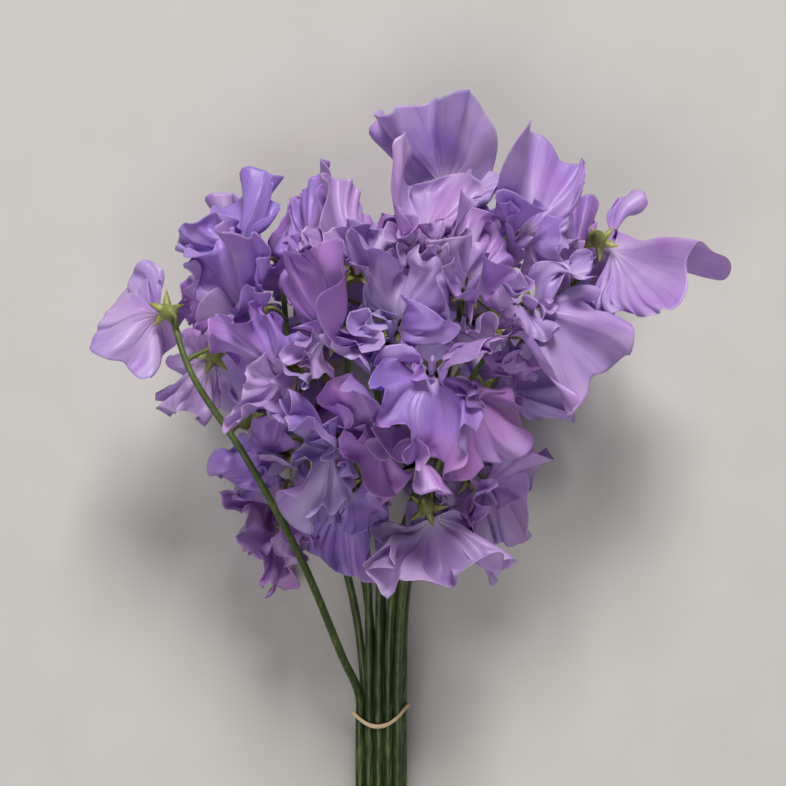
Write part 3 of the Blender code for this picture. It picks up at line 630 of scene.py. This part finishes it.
# ---- the pieces ----
def petal_grid(panels, rings):
    """(u, v) places of a petal's points. The rings lie closer together near the rim."""
    reach = (np.arange(rings + 1) / rings) ** 0.85
    v = np.concatenate([[0.0, CLAW_SHARE / 2], CLAW_SHARE + (1.0 - CLAW_SHARE) * reach])
    return np.meshgrid(np.linspace(-1.0, 1.0, panels + 1), v)


def part_draws(bloom, part):
    """Random draws for one part of a bloom: banner 0, wings 1 and 2, calyx 9."""
    return np.random.default_rng(7000 + 31 * bloom.seed + part)


def add_petal(shape, bloom, planes, part, grid_size, outline, spread, waves):
    u, v = petal_grid(*grid_size)
    rng = part_draws(bloom, part)
    points = bloom.place(outline(bloom, u, v).reshape(-1, 3))
    grid = press(points, bloom, planes).reshape(*u.shape, 3)
    height = RUFFLE_HEIGHT * bloom.size * bloom.shape.get("ruffles", 1.0)
    grid = ruffle(relax(grid, RELAX_ROUNDS), u, v, rng, waves, height)
    normal, _ = grid_frame(grid)
    half = PETAL_THICK / 2 * (1.0 - RIM_TAPER * np.maximum(np.abs(u), v) ** 12)[..., None]
    both = np.stack([grid + normal * half, grid - normal * half]).reshape(-1, 3)
    both[:, 2] = np.maximum(both[:, 2], FLOOR_CLEAR)
    shape.add(both, sheet_faces(*u.shape), fan=np.tile((u * spread).ravel(), 2),
              reach=np.tile(v.ravel(), 2), hue=bloom.hue, pale=bloom.shape.get("pale", rng.uniform(0, 1)))


def add_keel(shape, bloom):
    """The boat-shaped pair of small petals between the wings."""
    steps, sides = KEEL_GRID
    t = np.linspace(0.0, 1.0, steps)
    height = 0.3 + 3.1 * np.sin(math.pi * t ** 0.8) ** 0.7
    width = 0.25 + 1.3 * np.sin(math.pi * t ** 0.7) ** 0.7
    rise = -0.6 + 3.4 * t ** 3
    forward = -0.9 + KEEL_LENGTH * t
    turns = np.arange(sides) * math.tau / sides
    rings = [np.stack([w * np.cos(turns), r + h * np.sin(turns), np.full(sides, f)], axis=1)
             for f, h, w, r in zip(forward, height, width, rise)]
    points = bloom.place(np.vstack(rings) * bloom.size)
    shape.add(points, ring_faces(steps, sides), fan=np.tile(0.3 * np.sin(turns), steps),
              reach=np.repeat(0.1 + 0.5 * t, sides), hue=bloom.hue, pale=1.0)


def make_bloom(bloom, planes, look):
    shape = Shape()
    add_petal(shape, bloom, planes, 0, BANNER_GRID, banner_points, BANNER_SPREAD, BANNER_WAVES)
    add_petal(shape, bloom, planes, 1, WING_GRID, left_wing, WING_SPREAD, WING_WAVES)
    add_petal(shape, bloom, planes, 2, WING_GRID, right_wing, WING_SPREAD, WING_WAVES)
    add_keel(shape, bloom)
    made = shape.build(f"petals_{bloom.name[6:]}", look)
    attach(made, "root")
    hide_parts(bloom.name)


def add_stalk(shape, bloom, path):
    centres = stalk_path(bloom, path, STALK_STEPS)
    t = np.linspace(0.0, 1.0, STALK_STEPS)
    radii = STALK_R * (1.0 + 0.5 * np.exp(-t / 0.12) - 0.1 * np.sin(math.pi * t))
    points, faces, along = tube(centres, radii, STALK_SIDES, bloom.axes[1])
    shape.add(points, faces, young=0.35 + 0.5 * along, rib=0.0)


def add_calyx(shape, bloom):
    """A cup on the end of the stalk, with five pointed sepals that spread from its rim."""
    rng = part_draws(bloom, 9)
    steps, sides = CALYX_GRID
    t = np.linspace(0.0, 1.0, steps)
    radius = STALK_R + (CALYX_R + CALYX_WALL - STALK_R) * smoothstep(t / 0.55) ** 0.8
    height = -CALYX_LENGTH + t * (CALYX_LENGTH - 1.1)
    inner = slice(None, 3, -1)
    radius = np.concatenate([radius, radius[inner] - CALYX_WALL])
    height = np.concatenate([height, height[inner] + 0.1])
    young = np.concatenate([0.55 + 0.35 * t, np.full(len(radius) - steps, 0.95)])
    turns = np.arange(sides) * math.tau / sides
    rings = [np.stack([r * np.sin(turns), r * np.cos(turns), np.full(sides, h)], axis=1)
             for r, h in zip(radius, height)]
    # These rings run the other way round, so their faces are turned over.
    faces = [(face[0], *face[:0:-1]) for face in ring_faces(len(rings), sides)]
    shape.add(bloom.place(np.vstack(rings)), faces, young=np.repeat(young, sides), rib=0.0)
    for number in range(5):
        add_sepal(shape, bloom, number, rng)


def add_sepal(shape, bloom, number, rng):
    """A narrow pointed sepal, with a painted highlight along its middle, that bends outwards from the
    calyx's rim.
    """
    rows, columns = SEPAL_GRID
    s, t = np.meshgrid(np.linspace(-1.0, 1.0, columns), np.linspace(0.0, 1.0, rows))
    length = (SEPAL_REACH - CALYX_R) * rng.uniform(0.88, 1.0) + 1.0
    half = SEPAL_HALF * (1.0 - t) ** 0.95 + 0.06
    start, end = math.radians(rng.uniform(28, 48)), math.radians(rng.uniform(80, 112))
    angle = start + (end - start) * t
    step = length / (rows - 1)
    out = CALYX_R + 0.1 + np.cumsum(np.sin(angle), axis=0) * step - np.sin(angle[0]) * step
    rise = -1.9 + np.cumsum(np.cos(angle), axis=0) * step
    across = s * half
    cup = 0.35 * s ** 2 * half
    turn = number * math.tau / 5 + rng.uniform(-0.07, 0.07)
    wrap = across / np.maximum(out, 1.0)
    away = out - cup
    grid = np.stack([away * np.sin(turn + wrap), away * np.cos(turn + wrap), rise + cup], axis=-1)
    normal, _ = grid_frame(grid)
    half_thick = SEPAL_THICK / 2 * (1.0 - 0.6 * t)[..., None]
    both = np.stack([grid + normal * half_thick, grid - normal * half_thick]).reshape(-1, 3)
    # the rib value is 1 along the sepal's middle, where a painted highlight goes
    shape.add(bloom.place(both), sheet_faces(rows, columns), young=np.tile((0.85 + 0.3 * t).ravel(), 2),
              rib=np.tile((1.0 - np.abs(s)).ravel(), 2))


def make_stem(number, blooms, path, look):
    shape = Shape()
    centres, along = path
    radii = np.interp(along, [0.0, TAIL_LENGTH, along[-1]], [STEM_R_TAIL, STEM_R_TIE, STEM_R_TIP])
    rng = np.random.default_rng(300 + number)
    radii = radii * (1.0 + 0.03 * wander(along / along[-1], rng, 14))
    points, faces, share = tube(centres, radii, STEM_SIDES, (1.0, 0.0, 0.0), RIDGE_HEIGHT)
    points[:, 2] = np.maximum(points[:, 2], 0.0)
    height = np.interp(share, np.linspace(0, 1, len(along)), along) / along[-1]
    # the lower stems get the darkest greens as painted shade, lightening towards the tip
    shape.add(points, faces, young=0.45 * np.maximum(height - 0.4, 0.0) ** 0.8, rib=0.0)
    for bloom in blooms:
        add_stalk(shape, bloom, path)
        add_calyx(shape, bloom)
    made = shape.build(f"green_{number:02d}", look)
    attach(made, "root")
    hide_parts(f"stem_{number:02d}")


def band_outline(reach, steps):
    """Points round the bundle at this distance from the outer stems' middles, as (across, rise)."""
    corners = np.array([slot_place(0, 1), slot_place(4, 1), slot_place(4, 0), slot_place(0, 0)])
    outline = []
    for before, corner, after in zip(np.roll(corners, 1, axis=0), corners, np.roll(corners, -1, axis=0)):
        into, out = corner - before, after - corner
        start = math.atan2(-into[0], into[1])
        turn = (math.atan2(-out[0], out[1]) - start) % math.tau
        for t in np.linspace(0.0, 1.0, steps):
            angle = start + turn * t
            outline.append(corner + reach * np.array([math.cos(angle), math.sin(angle)]))
    return np.array(outline)


def band_shift(x, z):
    """How far along the stems this part of the band lies: the front bows towards the cut ends."""
    front = 0.5 + 0.5 * z / (ROW_RISE + STEM_R_TIE)
    return BAND_TILT * x + (BAND_BOW * x * x - BAND_SAG) * front


def band_points():
    """Points of the band, section by section."""
    middle = band_outline(STEM_R_TIE + BAND_GAP + BAND_THICK / 2, 12)
    loop = np.vstack([middle, middle[:1]])
    along = np.concatenate([[0.0], np.cumsum(np.linalg.norm(np.diff(loop, axis=0), axis=1))])
    at = np.linspace(0.0, along[-1], BAND_SECTIONS, endpoint=False)
    centres = np.stack([np.interp(at, along, loop[:, i]) for i in range(2)], axis=1)
    ahead = np.roll(centres, -1, axis=0) - np.roll(centres, 1, axis=0)
    outwards = unit(np.stack([ahead[:, 1], -ahead[:, 0]], axis=1))
    turns = np.arange(BAND_SIDES) * math.tau / BAND_SIDES
    thick = np.sign(np.cos(turns)) * np.abs(np.cos(turns)) ** 0.6 * BAND_THICK / 2
    wide = np.sign(np.sin(turns)) * np.abs(np.sin(turns)) ** 0.6 * BAND_WIDTH / 2
    sections = []
    for (x, z), (out_x, out_z) in zip(centres, outwards):
        y = wide + band_shift(x, z)
        height = TIE_HEIGHT + z + out_z * thick + TAIL_SLOPE * y
        sections.append(np.stack([x + out_x * thick, y, height], axis=1))
    return np.array(sections)


def make_band(look):
    sections = band_points()
    count, sides, _ = sections.shape
    faces = []
    for i in range(count):
        for k in range(sides):
            a, b = i * sides, ((i + 1) % count) * sides
            faces.append((a + k, a + (k + 1) % sides, b + (k + 1) % sides, b + k))
    shape = Shape()
    shape.add(sections, faces)
    made = shape.build("elastic_loop", look)
    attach(made, "root")
    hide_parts("rubber_band")


# ---- materials ----
class Look:
    """A material's node tree, with short ways to add nodes to it."""

    def __init__(self, name):
        self.material = bpy.data.materials.new(name)
        self.material.use_nodes = True
        self.tree = self.material.node_tree
        self.shader = self.tree.nodes["Principled BSDF"]
        self.output = self.tree.nodes["Material Output"]

    def node(self, kind, inputs=(), **settings):
        made = self.tree.nodes.new(kind)
        for key, value in settings.items():
            setattr(made, key, value)
        for key, value in dict(inputs).items():
            if isinstance(value, bpy.types.NodeSocket):
                self.tree.links.new(value, made.inputs[key])
            else:
                made.inputs[key].default_value = value
        return made

    def value(self, name):
        return self.node("ShaderNodeAttribute", attribute_name=name).outputs["Fac"]

    def maths(self, operation, a, b):
        return self.node("ShaderNodeMath", {0: a, 1: b}, operation=operation).outputs[0]

    def times(self, a, b):
        return self.maths("MULTIPLY", a, b)

    def plus(self, a, b):
        return self.maths("ADD", a, b)

    def ramp(self, value, stops):
        """A colour ramp through (place, colour) stops."""
        made = self.node("ShaderNodeValToRGB", {0: value})
        elements = made.color_ramp.elements
        while len(elements) < len(stops):
            elements.new(1.0)
        for element, (place, colour) in zip(elements, stops):
            element.position = place
            element.color = (*colour, 1.0)
        return made.outputs["Color"]

    def span(self, value, low, high, to_low=0.0, to_high=1.0):
        """The value's place between low and high, eased and clamped."""
        made = self.node("ShaderNodeMapRange", {0: value, 1: low, 2: high, 3: to_low, 4: to_high},
                         interpolation_type="SMOOTHSTEP")
        return made.outputs[0]

    def mix(self, amount, a, b):
        made = self.node("ShaderNodeMix", data_type="RGBA", blend_type="MIX", clamp_factor=True)
        for index, value in ((0, amount), (6, a), (7, b)):
            if isinstance(value, bpy.types.NodeSocket):
                self.tree.links.new(value, made.inputs[index])
            elif index:
                made.inputs[index].default_value = (*value, 1.0)
            else:
                made.inputs[index].default_value = value
        return made.outputs[2]

    def noise(self, vector, scale, detail=2.0, roughness=0.5):
        made = self.node("ShaderNodeTexNoise", {"Vector": vector, "Scale": scale, "Detail": detail,
                                                "Roughness": roughness})
        return made.outputs["Fac"]

    def join(self, x, y, z):
        return self.node("ShaderNodeCombineXYZ", {0: x, 1: y, 2: z}).outputs[0]

    def set(self, socket, value):
        if isinstance(value, bpy.types.NodeSocket):
            self.tree.links.new(value, self.shader.inputs[socket])
        else:
            self.shader.inputs[socket].default_value = value


def petal_look():
    """Thin violet petals: radial veins, pale claws, a painted highlight along the rims, and tints that
    drift from blue to pink.
    """
    look = Look("sweet_pea_petal")
    fan, reach = look.value("fan"), look.value("reach")
    hue, pale = look.value("hue"), look.value("pale")
    place = look.node("ShaderNodeTexCoord").outputs["Object"]
    drift = look.noise(place, 38.0, 2.0)
    body = look.ramp(look.plus(look.times(hue, 0.28), drift), PETAL_TINTS)
    lighter = look.span(look.plus(look.times(pale, 0.5), look.noise(place, 55.0, 2.0)), 0.5, 1.1)
    body = look.mix(look.times(lighter, 0.58), body, PETAL_PALE)
    vein_place = look.join(look.times(fan, 22.0), look.times(reach, 1.6), look.times(hue, 9.0))
    veins = look.noise(vein_place, 1.0, 3.0, 0.6)
    dark = look.span(veins, 0.50, 0.72)
    body = look.mix(look.times(dark, 0.26), body, PETAL_VEIN)
    claw = look.span(reach, 0.36, 0.12)
    body = look.mix(look.times(claw, 0.55), body, PETAL_CLAW)
    # painted highlight along the outermost rim, where light shines through the thin petal
    rim = look.times(look.span(reach, 0.975, 1.0), look.span(drift, 0.42, 0.66, 0.0, 0.30))
    body = look.mix(rim, body, PETAL_RIM_HIGHLIGHT)
    look.set("Base Color", body)
    look.set("Roughness", 0.42)
    look.set("Specular IOR Level", 0.65)
    look.set("Sheen Weight", 0.12)
    look.set("Sheen Roughness", 0.45)
    grain = look.noise(place, 900.0, 2.0)
    height = look.plus(look.times(veins, 0.7), look.times(grain, 0.12))
    bump = look.node("ShaderNodeBump", {"Strength": 0.35, "Distance": 0.0006, "Height": height})
    look.set("Normal", bump.outputs[0])
    through = look.node("ShaderNodeBsdfTranslucent", {"Color": look.mix(0.6, body, PETAL_THROUGH),
                                                      "Normal": bump.outputs[0]})
    both = look.node("ShaderNodeMixShader", {0: 0.28, 1: look.shader.outputs[0], 2: through.outputs[0]})
    look.tree.links.new(both.outputs[0], look.output.inputs["Surface"])
    return look.material


def stem_look():
    """Waxy green stems, darkened low down as painted shade, that turn yellow-green towards the calyx, with
    fine lengthwise streaks and a painted highlight along each sepal's middle.
    """
    look = Look("sweet_pea_green")
    young, rib = look.value("young"), look.value("rib")
    place = look.node("ShaderNodeTexCoord").outputs["Object"]
    drawn_out = look.node("ShaderNodeVectorMath", {0: place, 1: (900.0, 20.0, 900.0)}, operation="MULTIPLY")
    streaks = look.noise(drawn_out.outputs[0], 1.0, 3.0)
    blotch = look.noise(place, 70.0, 3.0)
    # the darkest greens paint shade on the lower stems; the lighter ones are the young parts' own
    # yellow-green
    body = look.ramp(young, SHADE_TO_YOUNG_GREENS)
    body = look.mix(look.span(streaks, 0.44, 0.70, 0.0, 0.60), body, GREEN_STREAK)
    body = look.mix(look.span(blotch, 0.45, 0.75, 0.0, 0.60), body, GREEN_BLOTCH)
    # painted highlight along each sepal's middle
    body = look.mix(look.times(look.span(rib, 0.72, 1.0), 0.50), body, GREEN_RIB_HIGHLIGHT)
    look.set("Base Color", body)
    look.set("Roughness", look.span(blotch, 0.3, 0.8, 0.38, 0.56))
    look.set("Specular IOR Level", 0.5)
    bump = look.node("ShaderNodeBump", {"Strength": 0.5, "Distance": 0.0003, "Height": streaks})
    look.set("Normal", bump.outputs[0])
    return look.material


def band_look():
    """Tan rubber with faint chalky patches."""
    look = Look("tan_rubber")
    place = look.node("ShaderNodeTexCoord").outputs["Object"]
    patches = look.noise(place, 260.0, 4.0)
    grain = look.noise(place, 2200.0, 2.0)
    look.set("Base Color", look.ramp(patches, RUBBER))
    look.set("Roughness", look.span(patches, 0.3, 0.8, 0.32, 0.50))
    bump = look.node("ShaderNodeBump", {"Strength": 0.3, "Distance": 0.0002, "Height": grain})
    look.set("Normal", bump.outputs[0])
    return look.material


def floor_look():
    look = Look("pale_floor")
    place = look.node("ShaderNodeTexCoord").outputs["Object"]
    grain = look.noise(place, 30.0, 3.0)
    look.set("Base Color", look.ramp(grain, FLOOR))
    look.set("Roughness", 0.9)
    return look.material


# ---- floor, lights and camera ----
def make_floor():
    bpy.ops.mesh.primitive_plane_add(size=FLOOR_SIZE, location=(0.0, 0.0, -FLOOR_DROP))
    floor = bpy.context.object
    floor.name = "floor"
    floor.data.materials.append(floor_look())


def add_light(name, place, size, power, colour):
    light = bpy.data.lights.new(name, "AREA")
    light.size = size
    light.energy = power
    light.color = colour
    made = bpy.data.objects.new(name, light)
    made.location = place
    made.rotation_euler = (Vector(LIT_POINT) - Vector(place)).to_track_quat("-Z", "Y").to_euler()
    bpy.context.scene.collection.objects.link(made)


def make_lights():
    add_light("key", **KEY_LIGHT)
    add_light("front", **FRONT_LIGHT)
    world = bpy.data.worlds.new("studio")
    world.use_nodes = True
    background = world.node_tree.nodes["Background"]
    background.inputs["Color"].default_value = WORLD_COLOUR
    background.inputs["Strength"].default_value = WORLD_STRENGTH
    bpy.context.scene.world = world
    bpy.context.scene.view_settings.view_transform = "Standard"


def make_camera():
    """Looks straight down on the flowers and the tie, from 0.68 m above the surface."""
    camera = bpy.data.cameras.new("camera")
    camera.sensor_width = CAMERA_SENSOR_MM
    camera.lens = CAMERA_LENS_MM
    made = bpy.data.objects.new("camera", camera)
    made.location = to_frame(CAMERA_MM)
    bpy.context.scene.collection.objects.link(made)
    bpy.context.scene.camera = made


def main():
    stems = [[Bloom(i, j, spec) for j, spec in enumerate(stem["blooms"])] for i, stem in enumerate(STEMS)]
    paths = [stem_path(stem) for stem in STEMS]
    bars = keep_outs(stems, paths)
    everyone = [bloom for blooms in stems for bloom in blooms]
    green, violet = stem_look(), petal_look()
    for number, (blooms, path) in enumerate(zip(stems, paths), start=1):
        make_stem(number, blooms, path, green)
    for bloom in everyone:
        make_bloom(bloom, room_planes(bloom, everyone, bars), violet)
    make_band(band_look())
    make_floor()
    make_lights()
    make_camera()


main()
